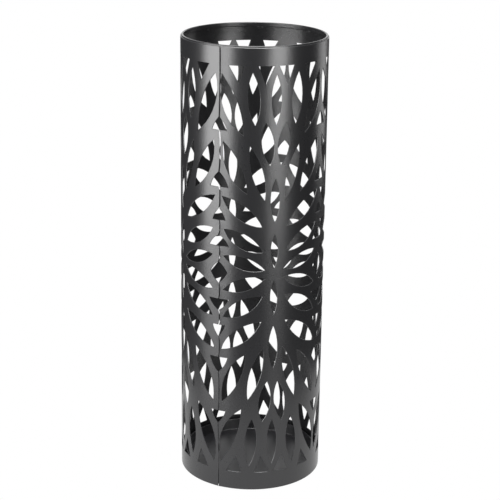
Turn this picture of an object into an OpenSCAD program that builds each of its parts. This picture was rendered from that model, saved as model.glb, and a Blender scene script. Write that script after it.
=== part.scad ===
// Round umbrella stand: a rolled, leaf-pierced steel sleeve with a stiffening ring in its
// mouth, a welded base plate on four pads, and a moulded drip tray that lifts out.
// Millimetres. +Z is up, the origin is the centre of the footprint on the floor, and the
// front of the stand faces -Y.

/* [Sleeve] */
// Outside diameter of the sleeve
outer_d = 156; // [140:1:180]
// Overall height of the stand
height = 490; // [440:10:540]
// Thickness of the sheet
sheet = 1; // [0.8:0.1:1.4]
// Width of the open butt seam where the rolled sheet meets itself
seam_gap = 0.8; // [0.4:0.1:1.2]
// Turn of the first leaf column from the front, anticlockwise seen from above
column_turn = 17.3; // [0:0.1:45]
// How far the seam, and the openings along it, lie past the half way between two columns
seam_shift = 1.2; // [0:0.1:2]

/* [Pierced pattern] */
// Height of the pattern's middle, where the leaves fan out sideways
pattern_mid = 250; // [235:0.5:255]
// Plain band above the pattern
top_band = 20; // [15:0.5:30]
// Plain band below the pattern
bottom_band = 21.5; // [15:0.5:30]
// Straight steps that make up each curved side of a leaf
arc_steps = 5; // [3:1:8]

/* [Rim ring] */
// Radial thickness of the round-edged ring inside the mouth
ring_t = 2.2; // [1.6:0.1:2.4]
// Height of the ring
ring_h = 5; // [4:0.5:8]
// How far the ring stands above the edge of the sheet
ring_rise = 1.5; // [0:0.1:2]

/* [Base] */
// Thickness of the base plate
plate_t = 1; // [0.8:0.1:1.5]
// Thickness of the anti-slip pads under the plate
pad_t = 2.6; // [2:0.1:4]
// Diameter of a pad
pad_d = 18; // [12:1:24]
// Distance of the pads from the centre
pad_reach = 58; // [40:1:60]
// Gap between the floor and the bottom edge of the sheet
edge_lift = 0.6; // [0.3:0.1:1]

/* [Drip tray] */
// Overall height of the tray
tray_h = 14; // [10:0.5:40]
// Wall and floor thickness of the tray
tray_t = 1.4; // [1.2:0.1:2]
// How much wider the tray is at its rim than at its floor, on the radius
tray_draft = 0.6; // [0.4:0.1:2]
// Gap between the tray and the inside of the rim ring, so that it lifts out
tray_clear = 1; // [0.6:0.1:3]

/* [Hidden] */
$fn = 96;

outer_r = outer_d / 2;
inner_r = outer_r - sheet;
mouth_r = inner_r - ring_t;
sheet_top = height - ring_rise;
plate_z = pad_t;
tray_z = plate_z + plate_t;

// The pattern is drawn flat. u runs round the sleeve from the middle of a leaf column and w
// runs up from the pattern's middle, both in millimetres on a sleeve of 156 x 490.
COLUMNS = 4;
DRAWN_D = 156;
DRAWN_HALF_H = 225.5;
gap_u = PI * DRAWN_D / COLUMNS / 2 + seam_shift;
up_scale = (height - top_band - pattern_mid) / DRAWN_HALF_H;
down_scale = (pattern_mid - bottom_band) / DRAWN_HALF_H;
seam_turn = column_turn - 360 / COLUMNS + degrees_of(gap_u);

// Leaves on both sides of a column: lower tip, upper tip, belly towards the column, belly
// away from it
SIDE_LEAVES = [
    [[22, 163], [25, 218.5], 6.5, 6.5],
    [[34, 152], [57.5, 216.5], 6, 11],
    [[6, 120], [11, 166], 6.5, 6.5],
    [[11, 82], [27, 141], 6, 6],
    [[29.5, 89], [56, 145.5], 6.5, 9.5],
    [[13.5, 52.5], [57.5, 85.5], 7.5, 8],
    [[12.5, 24.5], [55, 49], 8, 8],
    [[10, 4.5], [55, 19], 7, 7]];
// Leaves that stand on the middle line of a column: lower tip, upper tip, belly
MIDDLE_LEAVES = [[163.5, 216.5, 5.5], [57.5, 106, 5], [6.5, 45, 4]];
// Straight-sided openings along the plain band
BAND_WEDGES = [
    [[2.5, 225.5], [12, 205.5], [19, 225.5]],
    [[33, 225.5], [39, 207], [50, 225.5]]];
// Hollow-sided openings between two columns: tip, base, half width, hollow of the sides
GAP_WEDGES = [
    [171, 156.5, 8.5, 1],
    [112, 95, 10.5, 1.5],
    [71.5, 58.5, 7.5, 1],
    [42, 29.5, 11.5, 1.5]];
// Four-pointed opening between two columns at the pattern's middle: half height, half width,
// hollow of the sides
GAP_STAR = [12, 10, 1];

// How far the cutter of an opening reaches past the inner and the outer face of the sheet
CUT_INSIDE = 5;
CUT_OUTSIDE = 2;

WELD_TURNS = [for (k = [0:7]) 22.5 + 45 * k];
WELD_SPAN = 5;
WELD_LEG = 1.6;
SEAM_WELD_W = [200, 134, 83, 50, 21];
SEAM_WELD_L = 8;
SEAM_WELD_HALF = 1.4;
SEAM_WELD_T = 0.7;
PAD_TURNS = [45, 135, 225, 315];

black_steel = [0.16, 0.16, 0.17];
black_plastic = [0.1, 0.1, 0.11];
grey_rubber = [0.3, 0.3, 0.3];

function degrees_of(u) = u / (DRAWN_D / 2) * 180 / PI;
function drawn_to_z(w) = pattern_mid + w * (w > 0 ? up_scale : down_scale);

// Points of an arc from a to b, b left out, whose middle stands belly to the left of the
// straight way (to the right when belly is negative)
function arc_points(a, b, belly) =
    let (
        way = b - a,
        chord = norm(way),
        along = way / chord,
        left = [-along[1], along[0]],
        r = (chord * chord / 4 + belly * belly) / (2 * belly),
        centre = (a + b) / 2 + left * (belly - r),
        half = asin(chord / 2 / abs(r)))
    [for (k = [0 : arc_steps - 1])
        let (turn = half * (2 * k / arc_steps - 1))
        centre + along * abs(r) * sin(turn) + left * r * cos(turn)];

function leaf_points(low, high, near, away) =
    concat(arc_points(low, high, near), arc_points(high, low, away));

function gap_wedge_points(tip, base, half_w, hollow) =
    concat(
        arc_points([gap_u, tip], [gap_u - half_w, base], -hollow),
        [[gap_u - half_w, base]],
        arc_points([gap_u + half_w, base], [gap_u, tip], -hollow));

function star_points(half_h, half_w, hollow) =
    let (tips = [[0, half_h], [-half_w, 0], [0, -half_h], [half_w, 0]], middle = [gap_u, 0])
    [for (k = [0:3]) each arc_points(middle + tips[k], middle + tips[(k + 1) % 4], -hollow)];

// A cutter through the wall for one outline. side mirrors it to the other side of its column
// and end to the lower half of the sleeve.
module pierce(points, side = 1, end = 1) {
    us = [for (p = points) p[0]];
    middle = (max(us) + min(us)) / 2;
    rotate([0, 0, side * degrees_of(middle)])
        translate([0, CUT_INSIDE - inner_r, 0])
            rotate([90, 0, 0])
                linear_extrude(height = CUT_INSIDE + sheet + CUT_OUTSIDE)
                    polygon([for (p = points)
                        [side * outer_r * sin(degrees_of(p[0] - middle)), drawn_to_z(end * p[1])]]);
}

module column_cutters() {
    for (end = [-1, 1]) {
        for (side = [-1, 1]) {
            for (leaf = SIDE_LEAVES) {
                pierce(leaf_points(leaf[0], leaf[1], leaf[2], leaf[3]), side, end);
            }
            for (wedge = BAND_WEDGES) {
                pierce(wedge, side, end);
            }
        }
        for (leaf = MIDDLE_LEAVES) {
            pierce(leaf_points([0, leaf[0]], [0, leaf[1]], leaf[2], leaf[2]), 1, end);
        }
        for (wedge = GAP_WEDGES) {
            pierce(gap_wedge_points(wedge[0], wedge[1], wedge[2], wedge[3]), 1, end);
        }
    }
    pierce(star_points(GAP_STAR[0], GAP_STAR[1], GAP_STAR[2]));
}

// The rolled sheet: a tube that is open along its seam, pierced by four columns of leaves
module sleeve() {
    gap = seam_gap / outer_r * 180 / PI;
    color(black_steel)
        difference() {
            rotate([0, 0, seam_turn - 90 + gap / 2])
                rotate_extrude(angle = 360 - gap)
                    translate([inner_r, edge_lift])
                        square([sheet, sheet_top - edge_lift]);
            for (k = [0 : COLUMNS - 1]) {
                rotate([0, 0, column_turn + 360 / COLUMNS * k])
                    column_cutters();
            }
        }
}

// Section of the rim ring: a flat bar with fully rounded edges
module ring_section() {
    low = height - ring_h + ring_t / 2;
    high = height - ring_t / 2;
    translate([mouth_r, low])
        square([ring_t, high - low]);
    for (z = [low, high]) {
        translate([mouth_r + ring_t / 2, z])
            circle(d = ring_t);
    }
}

module rim_ring() {
    color(black_steel)
        rotate_extrude()
            ring_section();
}

// Tack welds in the corner between the underside of the ring and the sheet
module rim_welds() {
    corner = height - ring_h + ring_t / 2;
    color(black_steel)
        for (turn = WELD_TURNS) {
            rotate([0, 0, seam_turn + turn - WELD_SPAN / 2])
                rotate_extrude(angle = WELD_SPAN)
                    difference() {
                        polygon([[inner_r, corner], [mouth_r + ring_t / 2, corner],
                            [mouth_r + ring_t / 2, corner - WELD_LEG],
                            [inner_r, corner - 2 * WELD_LEG]]);
                        ring_section();
                    }
        }
}

// Short welds on the inside that hold the seam shut between its openings
module seam_welds() {
    spread = SEAM_WELD_HALF / inner_r * 180 / PI;
    color(black_steel)
        for (w = SEAM_WELD_W, end = [-1, 1]) {
            rotate([0, 0, seam_turn - 90 - spread])
                rotate_extrude(angle = 2 * spread)
                    translate([inner_r - SEAM_WELD_T, drawn_to_z(end * w) - SEAM_WELD_L / 2])
                        square([SEAM_WELD_T, SEAM_WELD_L]);
        }
}

module base_plate() {
    color(black_steel)
        translate([0, 0, plate_z])
            cylinder(r = inner_r, h = plate_t);
}

// Tack welds in the corner under the base plate
module base_welds() {
    color(black_steel)
        for (turn = WELD_TURNS) {
            rotate([0, 0, seam_turn + turn - WELD_SPAN / 2])
                rotate_extrude(angle = WELD_SPAN)
                    polygon([[inner_r - WELD_LEG, plate_z], [inner_r, plate_z],
                        [inner_r, plate_z - WELD_LEG]]);
        }
}

// The tray: a shallow pan with a flat floor and a wall that leans out a little
module drip_tray() {
    top_r = mouth_r - tray_clear;
    floor_r = top_r - tray_draft;
    top_z = tray_z + tray_h;
    color(black_plastic)
        rotate_extrude()
            polygon([
                [0, tray_z],
                [floor_r, tray_z],
                [top_r, top_z],
                [top_r - tray_t, top_z],
                [floor_r - tray_t, tray_z + tray_t],
                [0, tray_z + tray_t]]);
}

module foot_pad(turn) {
    color(grey_rubber)
        rotate([0, 0, turn])
            translate([pad_reach, 0, 0])
                cylinder(d = pad_d, h = pad_t);
}

sleeve();
rim_ring();
rim_welds();
seam_welds();
base_plate();
base_welds();
drip_tray();
foot_pad(PAD_TURNS[0]);  // foot_pad_1
foot_pad(PAD_TURNS[1]);  // foot_pad_2
foot_pad(PAD_TURNS[2]);  // foot_pad_3
foot_pad(PAD_TURNS[3]);  // foot_pad_4
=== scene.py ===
# %% [markdown]
# # A pierced steel umbrella stand
#
# The real stand starts as a flat square of steel. A press or a laser cuts the leaf pattern, rollers
# bend the sheet into a tube, and short welds close the seam. A ring stiffens the mouth, a plate
# closes the foot, and the whole body is coated with black powder. A plastic tray drops in.
#
# This script follows the same order: flat sheet, cut, roll, weld, coat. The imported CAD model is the
# frame, so every size is either read from it or is a detail finer than it holds.

# %% Load the frame
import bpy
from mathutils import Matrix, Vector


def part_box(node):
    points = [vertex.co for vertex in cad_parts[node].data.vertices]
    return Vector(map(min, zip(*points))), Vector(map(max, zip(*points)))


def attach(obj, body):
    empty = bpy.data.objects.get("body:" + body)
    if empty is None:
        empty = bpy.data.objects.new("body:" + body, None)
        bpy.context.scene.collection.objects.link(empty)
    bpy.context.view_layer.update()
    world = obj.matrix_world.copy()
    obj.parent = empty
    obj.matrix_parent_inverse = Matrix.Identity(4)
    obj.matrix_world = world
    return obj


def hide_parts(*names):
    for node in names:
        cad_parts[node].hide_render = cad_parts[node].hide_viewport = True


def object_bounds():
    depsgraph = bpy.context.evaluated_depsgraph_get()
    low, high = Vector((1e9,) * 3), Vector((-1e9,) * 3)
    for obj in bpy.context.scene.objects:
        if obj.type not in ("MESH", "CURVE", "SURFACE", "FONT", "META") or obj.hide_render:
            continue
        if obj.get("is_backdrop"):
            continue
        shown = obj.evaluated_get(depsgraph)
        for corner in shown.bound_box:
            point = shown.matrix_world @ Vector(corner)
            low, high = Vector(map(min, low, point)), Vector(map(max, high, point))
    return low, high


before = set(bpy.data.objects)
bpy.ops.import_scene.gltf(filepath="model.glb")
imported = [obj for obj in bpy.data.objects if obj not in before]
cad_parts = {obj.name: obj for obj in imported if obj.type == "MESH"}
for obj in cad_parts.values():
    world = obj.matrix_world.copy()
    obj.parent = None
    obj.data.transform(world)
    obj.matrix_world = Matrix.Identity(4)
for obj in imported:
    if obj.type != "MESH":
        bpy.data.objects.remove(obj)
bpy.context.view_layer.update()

# %% Modules and units
import math

import bmesh
import bpy
from mathutils import Matrix, Vector

MM = 0.001

# %% [markdown]
# ## Sizes
#
# The boxes of the CAD nodes give the driving sizes: how wide the sleeve is, where its sheet starts
# and ends, how tall the ring is. Reading them here means that a change in the CAD reaches every
# piece, and nothing has to be moved by hand afterwards.

# %% Sizes read from the frame
sleeve_low, sleeve_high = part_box("sleeve")
ring_low, ring_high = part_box("rim_ring")
plate_low, plate_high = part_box("base_plate")
tray_low, tray_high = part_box("drip_tray")

OUTER_R = (sleeve_high.x - sleeve_low.x) / 2
INNER_R = plate_high.x
SHEET = OUTER_R - INNER_R
SHEET_LOW = sleeve_low.z
SHEET_HIGH = sleeve_high.z
TOP = ring_high.z
print(f"sleeve radius {OUTER_R:.4f} m, sheet {SHEET / MM:.2f} mm, height {TOP:.3f} m")

# %% [markdown]
# ## The camera
#
# The stand is seen from a little above through a long lens, so its sides stay nearly parallel.
# Distances are counted in sleeve radii, which keeps the framing if the stand changes size. The
# camera is turned by a matrix: yaw about the upright, then pitch, then a slight roll about the
# line of sight.

# %% Camera
CAMERA_DISTANCE = 19.614
CAMERA_HEIGHT = 9.563
LENS = 105.6
PITCH_DOWN = math.radians(17.894)
YAW = math.radians(0.096)
ROLL = math.radians(0.629)

camera = bpy.data.objects.new("camera", bpy.data.cameras.new("camera"))
bpy.context.scene.collection.objects.link(camera)
camera.data.lens = LENS
camera.data.clip_end = 50
place = Matrix.Translation((0, -CAMERA_DISTANCE * OUTER_R, CAMERA_HEIGHT * OUTER_R))
aim = (
    Matrix.Rotation(YAW, 4, "Z")
    @ Matrix.Rotation(math.pi / 2 - PITCH_DOWN, 4, "X")
    @ Matrix.Rotation(ROLL, 4, "Z")
)
camera.matrix_world = place @ aim
bpy.context.scene.camera = camera
print("camera at", tuple(round(x, 3) for x in camera.matrix_world.translation))

# %% [markdown]
# ## Sums on sockets
#
# Node trees hold both the shapes and the finishes here, and both are mostly arithmetic. Wrapping an
# output socket in a small class lets Python operators add the Math nodes, so a rule reads as the
# formula that it is. Every other node comes from one method, which takes the node's type, its
# settings and what goes into its sockets.

# %% Wire: a socket that can be used in sums
class Wire:
    """An output socket of a node tree. A sum on it adds the Math node that works it out."""

    def __init__(self, tree, socket):
        self.tree = tree
        self.socket = socket

    def node(self, kind, settings=None, values=None, output=0):
        return add(self.tree, kind, settings, values, output)

    def math(self, operation, *others):
        values = dict(enumerate((self, *others)))
        return self.node("ShaderNodeMath", {"operation": operation}, values)

    def __add__(self, other):
        return self.math("ADD", other)

    __radd__ = __add__

    def __mul__(self, other):
        return self.math("MULTIPLY", other)

    __rmul__ = __mul__

    def __sub__(self, other):
        return self.math("SUBTRACT", other)

    def __rsub__(self, other):
        return self * -1 + other

    def __truediv__(self, other):
        return self.math("DIVIDE", other)

    def __gt__(self, other):
        return self.math("GREATER_THAN", other)

    def __lt__(self, other):
        return self.math("LESS_THAN", other)


def find_socket(sockets, key):
    """A socket by its place, or the one in use among those with that name."""
    if isinstance(key, int):
        return sockets[key]
    return next(s for s in sockets if s.name == key and s.enabled)


def add(tree, kind, settings=None, values=None, output=0):
    """Adds a node and returns its output as a Wire. Settings come first: they change the sockets."""
    made = tree.nodes.new(kind)
    for name, setting in (settings or {}).items():
        setattr(made, name, setting)
    for key, value in (values or {}).items():
        socket = find_socket(made.inputs, key)
        for item in value if isinstance(value, list) else [value]:
            if isinstance(item, Wire):
                tree.links.new(item.socket, socket)
            else:
                socket.default_value = item
    return Wire(tree, find_socket(made.outputs, output)) if len(made.outputs) else made


# %% [markdown]
# ## From a node tree to a plain mesh
#
# A Geometry Nodes tree is a recipe with named inputs. It is run once on a small source mesh, its
# result is copied into a plain mesh, and the recipe is thrown away, so that what is left behaves
# like any hand-made mesh. A modifier keeps its inputs under the sockets' identifiers, which is why
# they are looked up by name first.

# %% Trees and pieces
def new_tree(name, inputs):
    """A Geometry Nodes tree and its inputs as Wires. inputs names each socket's kind."""
    tree = bpy.data.node_groups.new(name, "GeometryNodeTree")
    tree.interface.new_socket("Geometry", in_out="OUTPUT", socket_type="NodeSocketGeometry")
    tree.interface.new_socket("Geometry", in_out="INPUT", socket_type="NodeSocketGeometry")
    for label, kind in inputs.items():
        tree.interface.new_socket(label, in_out="INPUT", socket_type="NodeSocket" + kind)
    entry = tree.nodes.new("NodeGroupInput")
    return tree, {s.name: Wire(tree, s) for s in entry.outputs if s.name}


def end_tree(tree, geometry, material):
    """Closes a tree: real meshes in place of instances, and the finish."""
    solid = add(tree, "GeometryNodeRealizeInstances", values={"Geometry": geometry})
    coated = add(
        tree, "GeometryNodeSetMaterial", values={"Geometry": solid, "Material": material}
    )
    leave = tree.nodes.new("NodeGroupOutput")
    tree.links.new(coated.socket, leave.inputs[0])


def new_piece(name, mesh):
    piece = bpy.data.objects.new(name, mesh)
    bpy.context.scene.collection.objects.link(piece)
    return piece


def run_tree(name, tree, mesh, values):
    """Runs a tree on a mesh with these inputs, and returns the result as a plain object."""
    source = new_piece(name + "_source", mesh)
    modifier = source.modifiers.new("recipe", "NODES")
    modifier.node_group = tree
    for item in tree.interface.items_tree:
        if item.in_out == "INPUT" and item.name in values:
            modifier[item.identifier] = values[item.name]
    evaluated = source.evaluated_get(bpy.context.evaluated_depsgraph_get())
    result = bpy.data.meshes.new_from_object(evaluated)
    result.name = name
    bpy.data.objects.remove(source)
    return new_piece(name, result)


def finish_mesh(piece, angle=30):
    """Smooth shading that keeps corners sharper than the angle, and a line on what was made."""
    piece.data.shade_smooth()
    piece.data.set_sharp_from_angle(angle=math.radians(angle))
    triangles = sum(len(p.vertices) - 2 for p in piece.data.polygons)
    print(f"{piece.name}: {triangles} triangles")
    return piece


# %% [markdown]
# ## The finishes
#
# Powder coat is a thin plastic skin over steel. It is not metallic: its shine comes from a clear,
# slightly rough surface with a very fine grain where the powder has flowed together, and under that
# a slower waviness. Both go into the bump, and the grain also breaks up the shine a little. A cut
# edge is painted a touch lighter, a painted highlight for the light that catches the thin sheet
# around each opening: the sleeve carries an attribute that says where.

# %% Shared pattern helpers
def new_material(name):
    material = bpy.data.materials.new(name)
    material.use_nodes = True
    material.node_tree.nodes.clear()
    return material, material.node_tree


def noise(tree, place, scale, detail=2.0, roughness=0.5):
    values = {"Vector": place, "Scale": scale, "Detail": detail, "Roughness": roughness}
    return add(tree, "ShaderNodeTexNoise", values=values)


def object_place(tree):
    return add(tree, "ShaderNodeTexCoord", output="Object")


def mix_colours(tree, factor, first, second):
    values = {"Factor": factor, "A": (*first, 1), "B": (*second, 1)}
    return add(tree, "ShaderNodeMix", {"data_type": "RGBA"}, values, "Result")


def bump(tree, height, strength, distance, under=None):
    values = {"Height": height, "Strength": strength, "Distance": distance}
    if under is not None:
        values["Normal"] = under
    return add(tree, "ShaderNodeBump", values=values)


def close_material(tree, values):
    shader = add(tree, "ShaderNodeBsdfPrincipled", values=values)
    add(tree, "ShaderNodeOutputMaterial", values={"Surface": shader})


# %% Black powder coat
GRAIN = 1 / (1.3 * MM)
FLOW = 1 / (3.2 * MM)
DRIFT = 1 / (90 * MM)


def powder_coat():
    material, tree = new_material("black_powder_coat")
    place = object_place(tree)
    grain = noise(tree, place, GRAIN, 3)
    flow = noise(tree, place, FLOW, 1)
    drift = noise(tree, place, DRIFT, 2)
    cut = add(tree, "ShaderNodeAttribute", {"attribute_name": "cut_edge"}, output="Fac")
    skin = mix_colours(tree, drift, (0.011, 0.011, 0.012), (0.015, 0.015, 0.016))
    # Painted highlight: the cut faces are painted lighter to stand in for the light that catches the
    # cut edges.
    edge = add(
        tree,
        "ShaderNodeMix",
        {"data_type": "RGBA"},
        {"Factor": cut * 0.6, "A": skin, "B": (0.04, 0.04, 0.042, 1)},
        "Result",
    )
    waves = bump(tree, flow, 0.10, 0.25 * MM)
    close_material(
        tree,
        {
            "Base Color": edge,
            "Roughness": 0.24 + grain * 0.06 + drift * 0.03,
            "Specular IOR Level": 0.6,
            "Normal": bump(tree, grain, 0.5, 0.16 * MM, waves),
        },
    )
    return material


# %% Moulded tray plastic
def tray_plastic():
    material, tree = new_material("tray_plastic")
    place = object_place(tree)
    fine = noise(tree, place, 1 / (0.8 * MM), 2)
    slow = noise(tree, place, 1 / (45 * MM), 2)
    colour = mix_colours(tree, slow, (0.012, 0.012, 0.013), (0.018, 0.018, 0.02))
    close_material(
        tree,
        {
            "Base Color": colour,
            "Roughness": 0.31 + slow * 0.05,
            "Normal": bump(tree, fine, 0.06, 0.05 * MM),
        },
    )
    return material


# %% Pad rubber
def pad_rubber():
    material, tree = new_material("pad_rubber")
    place = object_place(tree)
    crumb = noise(tree, place, 1 / (0.7 * MM), 4, 0.7)
    colour = mix_colours(tree, crumb, (0.03, 0.03, 0.03), (0.07, 0.07, 0.068))
    close_material(
        tree,
        {
            "Base Color": colour,
            "Roughness": 0.82 + crumb * 0.1,
            "Normal": bump(tree, crumb, 0.5, 0.2 * MM),
        },
    )
    return material


STEEL = powder_coat()
PLASTIC = tray_plastic()
RUBBER = pad_rubber()
print("finishes:", [m.name for m in (STEEL, PLASTIC, RUBBER)])

# %% [markdown]
# ## The leaf pattern
#
# Around the stand there are four columns. In each one the leaves stand upright at the top and
# bottom and fan out to lie sideways at the middle. One column is mirrored left to right, and its
# upper half end to end, so a quarter of a column is all that has to be drawn.
#
# The drawing is flat. u runs sideways from the column's middle line and w runs up from the
# pattern's middle, both in millimetres. A leaf is two arcs between two tips, so four numbers and
# two bellies describe it.

# %% The drawn quarter
COLUMNS = 4
HALF_COLUMN = math.pi * OUTER_R / COLUMNS / MM
DRAWN_HALF_H = 225.5
PATTERN_MID = 250 * MM
TOP_BAND = 20 * MM
BOTTOM_BAND = 21.5 * MM
COLUMN_TURN = math.radians(17.3)
# The seam and its openings lie a little past the half way between two columns, in millimetres.
SEAM_SHIFT = 1.2
GAP_U = HALF_COLUMN + SEAM_SHIFT

# lower tip, upper tip, belly towards the column, belly away from it
SIDE_LEAVES = [
    ((22, 163), (25, 218.5), 6.5, 6.5),
    ((34, 152), (57.5, 216.5), 6, 11),
    ((6, 120), (11, 166), 6.5, 6.5),
    ((11, 82), (27, 141), 6, 6),
    ((29.5, 89), (56, 145.5), 6.5, 9.5),
    ((13.5, 52.5), (57.5, 85.5), 7.5, 8),
    ((12.5, 24.5), (55, 49), 8, 8),
    ((10, 4.5), (55, 19), 7, 7),
]
# lower tip, upper tip, belly
MIDDLE_LEAVES = [(163.5, 216.5, 5.5), (57.5, 106, 5), (6.5, 45, 4)]
BAND_WEDGES = [
    [(2.5, 225.5), (12, 205.5), (19, 225.5)],
    [(33, 225.5), (39, 207), (50, 225.5)],
]
# tip, base, half width, hollow of the sides
GAP_WEDGES = [(171, 156.5, 8.5, 1), (112, 95, 10.5, 1.5), (71.5, 58.5, 7.5, 1), (42, 29.5, 11.5, 1.5)]
# half height, half width, hollow of the sides
GAP_STAR = (12, 10, 1)


# %% Outlines from arcs
ARC_STEPS = 9


def arc(start, end, belly):
    """Points from start towards end, end left out. The arc's middle stands belly to the left."""
    start, end = Vector(start), Vector(end)
    way = end - start
    left = Vector((-way.y, way.x)).normalized()
    radius = (way.length_squared / 4 + belly * belly) / (2 * belly)
    centre = (start + end) / 2 + left * (belly - radius)
    half = math.asin(way.length / 2 / abs(radius))
    turns = [half * (2 * k / ARC_STEPS - 1) for k in range(ARC_STEPS)]
    along = way.normalized() * abs(radius)
    return [centre + along * math.sin(t) + left * radius * math.cos(t) for t in turns]


def leaf(low, high, near, away):
    return arc(low, high, near) + arc(high, low, away)


def gap_wedge(tip, base, half_width, hollow):
    top = (GAP_U, tip)
    left, right = (GAP_U - half_width, base), (GAP_U + half_width, base)
    return arc(top, left, -hollow) + [Vector(left)] + arc(right, top, -hollow)


def gap_star(half_height, half_width, hollow):
    middle = Vector((GAP_U, 0))
    tips = [(0, half_height), (-half_width, 0), (0, -half_height), (half_width, 0)]
    tips = [middle + Vector(tip) for tip in tips]
    sides = [arc(tips[k], tips[(k + 1) % 4], -hollow) for k in range(4)]
    return sum(sides, [])


# %% [markdown]
# ## Cutters with a rounded edge
#
# Powder rounds off every edge that it covers, and that thin round is what catches the light around
# each opening. Rounding hundreds of edges after the cut would be slow and fragile. Instead each
# cutter is waisted like an hourglass: it flares where it passes the two faces of the sheet, so the
# cut itself leaves a bevel.

# %% Waisted cutters
EDGE_ROUND = 0.28
MITRE_LIMIT = 2.0
SHEET_MM = SHEET / MM
SIDE, MIDDLE, GAP, STAR = range(4)


def area(outline):
    pairs = zip(outline, outline[1:] + outline[:1])
    return sum(a.x * b.y - a.y * b.x for a, b in pairs) / 2


def widened(outline, by):
    """The outline, moved outwards by that much, with its sharp tips kept from running away."""
    moved = []
    for before, here, after in zip(outline[-1:] + outline[:-1], outline, outline[1:] + outline[:1]):
        sides = [(here - before).normalized(), (after - here).normalized()]
        outward = [Vector((side.y, -side.x)) for side in sides]
        middle = (outward[0] + outward[1]).normalized()
        reach = min(1 / max(middle.dot(outward[0]), 0.01), MITRE_LIMIT)
        moved.append(here + middle * by * reach)
    return moved


def add_cutter(bm, family, outline, kind):
    """Adds one closed cutter. The sheet's outer face is at depth 0 and its inner face below it."""
    outline = [Vector(p) for p in outline]
    if area(outline) < 0:
        outline.reverse()
    levels = [
        (-EDGE_ROUND, 2 * EDGE_ROUND),
        (EDGE_ROUND, 0),
        (SHEET_MM - EDGE_ROUND, 0),
        (SHEET_MM + EDGE_ROUND, 2 * EDGE_ROUND),
    ]
    rings = []
    for depth, flare in levels:
        points = widened(outline, flare)
        rings.append([bm.verts.new((p.x * MM, depth * MM, p.y * MM)) for p in points])
    faces = [bm.faces.new(rings[0]), bm.faces.new(rings[-1][::-1])]
    for outer, inner in zip(rings, rings[1:]):
        for k in range(len(outer)):
            j = (k + 1) % len(outer)
            faces.append(bm.faces.new((outer[j], outer[k], inner[k], inner[j])))
    for face in faces:
        face[family] = kind


def quarter_cutters():
    """A mesh with a cutter for each outline of the drawn quarter."""
    bm = bmesh.new()
    family = bm.faces.layers.int.new("family")
    for drawn in SIDE_LEAVES:
        add_cutter(bm, family, leaf(*drawn), SIDE)
    for drawn in BAND_WEDGES:
        add_cutter(bm, family, drawn, SIDE)
    for low, high, belly in MIDDLE_LEAVES:
        add_cutter(bm, family, leaf((0, low), (0, high), belly, belly), MIDDLE)
    for drawn in GAP_WEDGES:
        add_cutter(bm, family, gap_wedge(*drawn), GAP)
    add_cutter(bm, family, gap_star(*GAP_STAR), STAR)
    mesh = bpy.data.meshes.new("quarter_cutters")
    bm.to_mesh(mesh)
    print(f"{len(mesh.polygons)} faces of cutters, volume {bm.calc_volume() * 1e9:.0f} mm3")
    bm.free()
    return mesh


# %% [markdown]
# ## Cut flat, then roll
#
# The tree below does what the workshop does. It mirrors and repeats the cutters over the whole
# sheet, with one column to spare so that the openings on the seam are cut at both ends. It lays out
# a flat blank in narrow strips, because only a strip that is already narrow can follow a bend. It
# cuts, and then rolls the sheet by moving each point: the distance along the sheet becomes an
# angle. The last few millimetres next to the seam stay straight, as they do between real rollers.

# %% Steps of the sleeve's tree
STRIPS = 192
ROWS = 120
# A point counts as on a face or an edge of the blank beyond this share of its size.
ON_SKIN = 0.4
ON_EDGE = 0.4999


def family_is(tree, kind):
    family = add(tree, "GeometryNodeInputNamedAttribute", {"data_type": "INT"}, {"Name": "family"})
    return family.math("COMPARE", kind, 0.5)


def with_mirror(tree, geometry, scale):
    """The geometry and its mirror image, whose faces are turned to point outwards again."""
    mirror = add(
        tree, "GeometryNodeTransform", values={"Geometry": geometry, "Scale": scale}
    )
    flipped = add(tree, "GeometryNodeFlipFaces", values={"Mesh": mirror})
    return add(tree, "GeometryNodeJoinGeometry", values={"Geometry": [geometry, flipped]})


def only(tree, geometry, kind):
    values = {"Geometry": geometry, "Selection": family_is(tree, kind)}
    return add(tree, "GeometryNodeSeparateGeometry", {"domain": "FACE"}, values)


def whole_column(tree, quarter):
    sides = with_mirror(tree, only(tree, quarter, SIDE), (-1, 1, 1))
    upper = [sides, only(tree, quarter, MIDDLE), only(tree, quarter, GAP)]
    upper = add(tree, "GeometryNodeJoinGeometry", values={"Geometry": upper})
    both = with_mirror(tree, upper, (1, 1, -1))
    parts = [both, only(tree, quarter, STAR)]
    return add(tree, "GeometryNodeJoinGeometry", values={"Geometry": parts})


def xyz(tree, vector):
    split = add(tree, "ShaderNodeSeparateXYZ", values={"Vector": vector}).socket.node
    return [Wire(tree, s) for s in split.outputs]


def vector(tree, x=0.0, y=0.0, z=0.0):
    return add(tree, "ShaderNodeCombineXYZ", values={"X": x, "Y": y, "Z": z})


def position(tree):
    return add(tree, "GeometryNodeInputPosition")


def move(tree, geometry, **values):
    """Set Position, with its target or offset."""
    values = {"Geometry": geometry, **{k.capitalize(): v for k, v in values.items()}}
    return add(tree, "GeometryNodeSetPosition", values=values)


# %% The cutters over the whole sheet
def stretch_at(given, w):
    """How much the drawing is stretched upwards, above its middle and below it."""
    up = (given["Height"] - given["Top band"] - given["Middle"]) / (DRAWN_HALF_H * MM)
    down = (given["Middle"] - given["Bottom band"]) / (DRAWN_HALF_H * MM)
    return down + (up - down) * (w > 0)


def spread_cutters(tree, given):
    pitch = given["Circumference"] / COLUMNS
    column = whole_column(tree, given["Geometry"])
    line = add(
        tree,
        "GeometryNodeMeshLine",
        values={
            "Count": COLUMNS + 1,
            "Start Location": vector(tree, pitch * -1),
            "Offset": vector(tree, pitch),
        },
    )
    copies = add(
        tree, "GeometryNodeInstanceOnPoints", values={"Points": line, "Instance": column}
    )
    everywhere = add(tree, "GeometryNodeRealizeInstances", values={"Geometry": copies})
    u, depth, w = xyz(tree, position(tree))
    w = given["Middle"] + w * stretch_at(given, w)
    return move(tree, everywhere, position=vector(tree, u, depth, w))


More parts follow.
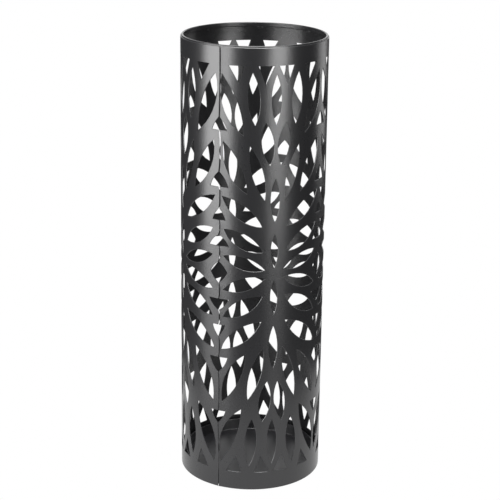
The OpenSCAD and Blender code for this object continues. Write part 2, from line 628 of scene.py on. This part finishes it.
# %% The flat blank
def blank(tree, given):
    """The uncut sheet, with its edges rounded off and its ends a little apart towards the top."""
    length = given["Circumference"] - given["Seam gap"]
    height = given["Sheet top"] - given["Sheet foot"]
    sheet = given["Sheet"]
    cube = add(
        tree,
        "GeometryNodeMeshCube",
        values={
            "Size": vector(tree, length, sheet, height),
            "Vertices X": STRIPS + 1,
            "Vertices Y": 4,
            "Vertices Z": ROWS + 1,
        },
    )
    x, y, z = xyz(tree, position(tree))
    on_skin = y.math("ABSOLUTE") > sheet * ON_SKIN
    near_end = x.math("ABSOLUTE") > length * ON_EDGE
    near_edge = z.math("ABSOLUTE") > height * ON_EDGE
    back = given["Edge round"] * on_skin * -1
    open_up = given["Seam opening"] * (z / height + 0.5) * -0.5
    bevel = vector(
        tree,
        x.math("SIGN") * (back + open_up) * near_end,
        0.0,
        z.math("SIGN") * back * near_edge,
    )
    bevelled = move(tree, cube, offset=bevel)
    centre = vector(
        tree,
        given["Circumference"] * (0.5 - 0.5 / COLUMNS) + given["Seam shift"],
        sheet * 0.5,
        given["Sheet foot"] + height * 0.5,
    )
    return add(
        tree, "GeometryNodeTransform", values={"Geometry": bevelled, "Translation": centre}
    )


# %% The seam's swing
# The two ends of the sheet meet along a line that bulges to one side between the openings.
SEAM_SWING = 1.5 * MM
SWING_REACH = 6 * MM
# Each bridge: lower end, upper end, its share of the full swing, middle of its weld
SEAM_BRIDGES = [
    (12, 29.5, 1.0, 21),
    (42, 58.5, 1.0, 50),
    (71.5, 95, 1.0, 83),
    (112, 156.5, 0.8, 134),
    (171, 320, 0.6, 200),
]


def seam_swing(given, z, from_end):
    """Sideways shift of a point near the seam: full along a bridge, none at an opening."""
    above = z - given["Middle"]
    w = (above / stretch_at(given, above)).math("ABSOLUTE")
    swing = 0.0
    for low, high, share, _ in SEAM_BRIDGES:
        off_middle = (w - (low + high) / 2 * MM).math("ABSOLUTE") / ((high - low) / 2 * MM)
        swing = (1 - off_middle.math("MINIMUM", 1.0).math("POWER", 4.0)) * share + swing
    return given["Seam swing"] * swing * (1 - from_end / SWING_REACH).math("MAXIMUM", 0.0)


# %% The roll
def roll(tree, given, sheet):
    """Bends the flat sheet round, and leaves its two ends straight over the given length."""
    radius = given["Circumference"] / (2 * math.pi)
    x, y, z = xyz(tree, position(tree))
    start = given["Circumference"] * (-0.5 / COLUMNS) + given["Seam shift"]
    from_end = (x - start).math("MINIMUM", start + given["Circumference"] - x)
    straight = (given["Straight end"] - from_end).math("MAXIMUM", 0.0) / radius
    reach = (radius - y) / straight.math("COSINE")
    angle = (x + seam_swing(given, z, from_end)) / radius + given["Column turn"]
    target = vector(tree, reach * angle.math("SINE"), reach * angle.math("COSINE") * -1, z)
    return move(tree, sheet, position=target)


# %% The sleeve
def sleeve_tree():
    sizes = (
        "Circumference", "Height", "Sheet top", "Sheet foot", "Sheet", "Middle", "Top band",
        "Bottom band", "Seam gap", "Seam opening", "Seam shift", "Seam swing", "Straight end",
        "Edge round", "Column turn",
    )
    inputs = {name: "Float" for name in sizes}
    tree, given = new_tree("cut_flat_then_roll", {**inputs, "Finish": "Material"})
    cut = add(
        tree,
        "GeometryNodeMeshBoolean",
        {"operation": "DIFFERENCE", "solver": "MANIFOLD"},
        {"Mesh 1": blank(tree, given), "Mesh 2": spread_cutters(tree, given)},
    )
    # Faces off the sheet's two skins are marked here for the painted highlight on the cut edges.
    across = xyz(tree, add(tree, "GeometryNodeInputNormal"))[1].math("ABSOLUTE")
    marked = add(
        tree,
        "GeometryNodeStoreNamedAttribute",
        {"data_type": "FLOAT", "domain": "FACE"},
        {"Geometry": cut, "Name": "cut_edge", "Value": across < 0.95},
    )
    end_tree(tree, roll(tree, given, marked), given["Finish"])
    return tree


sleeve = run_tree(
    "sleeve_shell",
    sleeve_tree(),
    quarter_cutters(),
    {
        "Circumference": 2 * math.pi * OUTER_R,
        "Height": TOP,
        "Sheet top": SHEET_HIGH,
        "Sheet foot": SHEET_LOW,
        "Sheet": SHEET,
        "Middle": PATTERN_MID,
        "Top band": TOP_BAND,
        "Bottom band": BOTTOM_BAND,
        "Seam gap": 0.6 * MM,
        "Seam opening": 1.0 * MM,
        "Seam shift": SEAM_SHIFT * MM,
        "Seam swing": SEAM_SWING,
        "Straight end": 8 * MM,
        "Edge round": EDGE_ROUND * MM,
        "Column turn": COLUMN_TURN,
        "Finish": STEEL,
    },
)
finish_mesh(sleeve)
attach(sleeve, "stand")
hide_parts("sleeve")

# %% [markdown]
# ## Turned pieces
#
# The ring, the plate, the tray and the pads are all round, so each is a section that is turned about
# an axis. The section is a list of corners, and each corner is replaced by a small arc, because a
# moulded or coated part has no perfectly sharp corner.

# %% Sections and turning
TURN_STEPS = 192


def rounded(corners, radius, steps=4, closed=True):
    """The corners with each one cut back into an arc. An open line keeps its two ends.

    radius is one size for all, or a list with one for each corner.
    """
    corners = [Vector(c) for c in corners]
    radii = radius if isinstance(radius, list) else [radius] * len(corners)
    points = []
    for k, (here, radius) in enumerate(zip(corners, radii)):
        if not closed and k in (0, len(corners) - 1):
            points.append(here)
            continue
        before, after = corners[k - 1] - here, corners[(k + 1) % len(corners)] - here
        cut = min(radius, before.length * 0.49, after.length * 0.49)
        first, last = here + before.normalized() * cut, here + after.normalized() * cut
        for step in range(steps + 1):
            t = step / steps
            points.append(first * (1 - t) ** 2 + here * 2 * t * (1 - t) + last * t * t)
    return points


def turn(name, section, finish, centre=(0, 0), steps=TURN_STEPS, closed=True):
    """A section of (radius, height) points turned about the upright through centre.

    A closed section goes round anticlockwise. An open one starts and ends on the axis.
    """
    bm = bmesh.new()
    rings = []
    for radius, height in section:
        if radius < 1e-7:
            rings.append([bm.verts.new((centre[0], centre[1], height))] * steps)
            continue
        angles = [2 * math.pi * k / steps for k in range(steps)]
        rings.append(
            [
                bm.verts.new(
                    (centre[0] + radius * math.cos(a), centre[1] + radius * math.sin(a), height)
                )
                for a in angles
            ]
        )
    pairs = list(zip(rings, rings[1:] + rings[:1])) if closed else list(zip(rings, rings[1:]))
    for low, high in pairs:
        for k in range(steps):
            j = (k + 1) % steps
            corners = []
            for vert in (low[k], low[j], high[j], high[k]):
                if vert not in corners:
                    corners.append(vert)
            if len(corners) > 2:
                bm.faces.new(corners)
    mesh = bpy.data.meshes.new(name)
    bmesh.ops.recalc_face_normals(bm, faces=bm.faces)
    bm.to_mesh(mesh)
    bm.free()
    mesh.materials.append(finish)
    return new_piece(name, mesh)


# %% Rim ring
RING_T = 2.2 * MM
RING_ROUND = 1.05 * MM
ring_outer = ring_high.x
mouth_r = ring_outer - RING_T
ring_section = [(mouth_r, ring_low.z), (ring_outer, ring_low.z), (ring_outer, TOP), (mouth_r, TOP)]
ring = turn("rim_ring_bar", rounded(ring_section, RING_ROUND, 6), STEEL)
finish_mesh(ring)
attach(ring, "stand")
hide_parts("rim_ring")

# %% Base plate
PLATE_ROUND = 0.25 * MM
plate_section = [
    (0, plate_low.z),
    (INNER_R, plate_low.z),
    (INNER_R, plate_high.z),
    (0, plate_high.z),
]
plate_section = rounded(plate_section, PLATE_ROUND, 2, closed=False)
plate = turn("base_plate_disc", plate_section, STEEL, closed=False)
finish_mesh(plate)
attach(plate, "stand")
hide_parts("base_plate")

# %% Drip tray
TRAY_T = 1.4 * MM
TRAY_DRAFT = 0.6 * MM
RIM_ROUND = 0.6 * MM
FLOOR_ROUND = 1.5 * MM
HOLLOW_ROUND = 1.2 * MM
tray_r = (tray_high.x - tray_low.x) / 2
tray_floor_r = tray_r - TRAY_DRAFT
tray_section = [
    (0, tray_low.z),
    (tray_floor_r, tray_low.z),
    (tray_r, tray_high.z),
    (tray_r - TRAY_T, tray_high.z),
    (tray_floor_r - TRAY_T, tray_low.z + TRAY_T),
    (0, tray_low.z + TRAY_T),
]
tray_rounds = [0, FLOOR_ROUND, RIM_ROUND, RIM_ROUND, HOLLOW_ROUND, 0]
tray = turn(
    "drip_tray_moulding",
    rounded(tray_section, tray_rounds, 5, closed=False),
    PLASTIC,
    closed=False,
)
finish_mesh(tray)
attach(tray, "tray")
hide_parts("drip_tray")

# %% Foot pads
PAD_ROUND = 0.6 * MM
PAD_STEPS = 48
for number in range(1, 5):
    low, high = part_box(f"foot_pad_{number}")
    middle = (low + high) / 2
    pad_r = (high.x - low.x) / 2
    pad_section = [(0, low.z), (pad_r, low.z), (pad_r, high.z), (0, high.z)]
    pad = turn(
        f"foot_pad_{number}_disc",
        rounded(pad_section, PAD_ROUND, closed=False),
        RUBBER,
        (middle.x, middle.y),
        PAD_STEPS,
        closed=False,
    )
    finish_mesh(pad)
    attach(pad, "stand")
    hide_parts(f"foot_pad_{number}")

# %% [markdown]
# ## Welds
#
# A short weld is a row of overlapping drops, so each bead is a stretched ball with ripples along
# its length. One tree makes all of them: it is given the places as points, each with the way that
# it is turned, and the size of a bead.

# %% One bead, many times
SEAM_TURN = COLUMN_TURN - math.pi / COLUMNS + SEAM_SHIFT * MM / OUTER_R
RIPPLE = 1.1 * MM
RIPPLE_DEPTH = 0.07 * MM


def bead_tree():
    inputs = {"Bead size": "Vector", "Ripple way": "Vector", "Ripple": "Float", "Depth": "Float"}
    tree, given = new_tree("weld_beads", {**inputs, "Finish": "Material"})
    ball = add(
        tree, "GeometryNodeMeshUVSphere", values={"Segments": 32, "Rings": 24, "Radius": 0.5}
    )
    bead = add(
        tree, "GeometryNodeTransform", values={"Geometry": ball, "Scale": given["Bead size"]}
    )
    along = add(
        tree,
        "ShaderNodeVectorMath",
        {"operation": "DOT_PRODUCT"},
        {0: position(tree), 1: given["Ripple way"]},
        "Value",
    )
    wave = (along * (2 * math.pi) / given["Ripple"]).math("SINE") * given["Depth"]
    normal = add(tree, "GeometryNodeInputNormal")
    swell = add(
        tree, "ShaderNodeVectorMath", {"operation": "SCALE"}, {"Vector": normal, "Scale": wave}
    )
    rippled = move(tree, bead, offset=swell)
    angle = add(tree, "GeometryNodeInputNamedAttribute", {"data_type": "FLOAT"}, {"Name": "turn"})
    beads = add(
        tree,
        "GeometryNodeInstanceOnPoints",
        values={
            "Points": given["Geometry"],
            "Instance": rippled,
            "Rotation": vector(tree, z=angle),
        },
    )
    end_tree(tree, beads, given["Finish"])
    return tree


BEADS = bead_tree()


def welds(name, node, places, size, way):
    """Beads at places, which are (angle from +X, radius, height), with their size in mm."""
    mesh = bpy.data.meshes.new(name)
    spots = [(r * math.cos(a), r * math.sin(a), z) for a, r, z in places]
    mesh.from_pydata(spots, [], [])
    turns = mesh.attributes.new("turn", "FLOAT", "POINT")
    turns.data.foreach_set("value", [a + math.pi / 2 for a, _, _ in places])
    values = {
        "Bead size": [side * MM for side in size],
        "Ripple way": way,
        "Ripple": RIPPLE,
        "Depth": RIPPLE_DEPTH,
        "Finish": STEEL,
    }
    beads = run_tree(name, BEADS, mesh, values)
    finish_mesh(beads, 60)
    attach(beads, "stand")
    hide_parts(node)


# %% Rim and base welds
# Sizes of a bead in millimetres: along the weld, into the stand, and up
RING_WELDS = 8
RIM_BEAD = (6.6, 2.0, 2.8)
RIM_BEAD_DEPTH = 0.6 * MM
BASE_BEAD = (6.6, 1.5, 1.4)
BASE_BEAD_DEPTH = 0.5 * MM
weld_pitch = 2 * math.pi / RING_WELDS
round_turns = [SEAM_TURN + weld_pitch * (k + 0.5) for k in range(RING_WELDS)]
rim_low, rim_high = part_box("rim_welds")
rim_z = (rim_low.z + rim_high.z) / 2
rim_places = [(a, INNER_R - RIM_BEAD_DEPTH, rim_z) for a in round_turns]
welds("rim_weld_beads", "rim_welds", rim_places, RIM_BEAD, (1, 0, 0))

foot_low, foot_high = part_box("base_welds")
foot_z = (foot_low.z + foot_high.z) / 2
foot_places = [(a, INNER_R - BASE_BEAD_DEPTH, foot_z) for a in round_turns]
welds("base_weld_beads", "base_welds", foot_places, BASE_BEAD, (1, 0, 0))

# %% Seam welds
SEAM_BEAD = (2.8, 0.9, 11)
SEAM_BEAD_DEPTH = 0.4 * MM
up = (TOP - TOP_BAND - PATTERN_MID) / DRAWN_HALF_H
down = (PATTERN_MID - BOTTOM_BAND) / DRAWN_HALF_H
seam_places = []
for _, _, share, w in SEAM_BRIDGES:
    angle = SEAM_TURN - math.pi / 2 + share * SEAM_SWING / OUTER_R
    for z in (PATTERN_MID + w * up, PATTERN_MID - w * down):
        seam_places.append((angle, INNER_R - SEAM_BEAD_DEPTH, z))
welds("seam_weld_beads", "seam_welds", seam_places, SEAM_BEAD, (0, 0, 1))

# %% [markdown]
# ## Floor and light
#
# A white floor and a white surround leave nothing but the black steel to look at. Black gloss only
# shows what it mirrors, so two large soft boxes stand in front, one to each side: they draw the two
# upright bands of light, and the dark between them is the dim room. The two weak boxes below them
# carry the bands on down to the foot, and the light overhead reaches the tray through the mouth.

# %% Floor
FLOOR_R = 0.33
floor_mesh = bpy.data.meshes.new("floor")
bm = bmesh.new()
bmesh.ops.create_circle(bm, cap_ends=True, segments=96, radius=FLOOR_R)
bm.to_mesh(floor_mesh)
bm.free()
floor = new_piece("floor", floor_mesh)
floor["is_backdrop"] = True
floor_material, tree = new_material("floor_white")
close_material(
    tree,
    {
        "Base Color": (0.0, 0.0, 0.0, 1),
        "Specular IOR Level": 0.0,
        "Emission Color": (1, 1, 1, 1),
        "Emission Strength": 1.0,
    },
)
floor_mesh.materials.append(floor_material)


# %% Lights
def soft_box(name, azimuth, distance, height, width, tall, power):
    """An upright rectangle of light that faces the stand. Azimuth 0 is the front, -Y."""
    data = bpy.data.lights.new(name, "AREA")
    data.shape = "RECTANGLE"
    data.size = width
    data.size_y = tall
    data.energy = power
    light = bpy.data.objects.new(name, data)
    bpy.context.scene.collection.objects.link(light)
    a = math.radians(azimuth)
    light.location = (distance * math.sin(a), -distance * math.cos(a), height)
    light.rotation_euler = (math.pi / 2, 0, a)
    return light


# name, azimuth, distance, height, width, height of the panel, power
SOFT_BOXES = [
    ("left_box", -57, 1.3, 0.43, 1.1, 1.1, 32),
    ("right_box", 37, 1.5, 0.55, 0.72, 1.1, 21),
    ("far_right", 128, 1.5, 0.35, 0.7, 0.7, 2.6),
    ("left_sweep", -57, 1.3, -0.42, 1.1, 0.58, 3.6),
    ("right_sweep", 37, 1.5, -0.3, 0.72, 0.58, 0.8),
    ("back_panel", 180, 1.2, 0.85, 1.4, 1.0, 6),
]
for box in SOFT_BOXES:
    soft_box(*box)
overhead = soft_box("overhead", 0, 0.0, 2.0, 1.0, 1.0, 60)
overhead.rotation_euler = (0, 0, 0)
print(len(SOFT_BOXES) + 1, "lights")

# %% Surround
SEEN_SKY = 1.0
FELT_SKY = 0.05
world = bpy.data.worlds.new("studio")
bpy.context.scene.world = world
world.use_nodes = True
sky = world.node_tree
sky.nodes.clear()
seen = add(sky, "ShaderNodeBackground", values={"Color": (1, 1, 1, 1), "Strength": SEEN_SKY})
felt = add(sky, "ShaderNodeBackground", values={"Color": (1, 1, 1, 1), "Strength": FELT_SKY})
to_camera = add(sky, "ShaderNodeLightPath", output="Is Camera Ray")
both = add(sky, "ShaderNodeMixShader", values={0: to_camera, 1: felt, 2: seen})
add(sky, "ShaderNodeOutputWorld", values={"Surface": both})
bpy.context.scene.view_settings.view_transform = "Standard"

# %% Print the visual box and finish
low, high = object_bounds()
print("visual box in metres:", tuple(low), tuple(high))
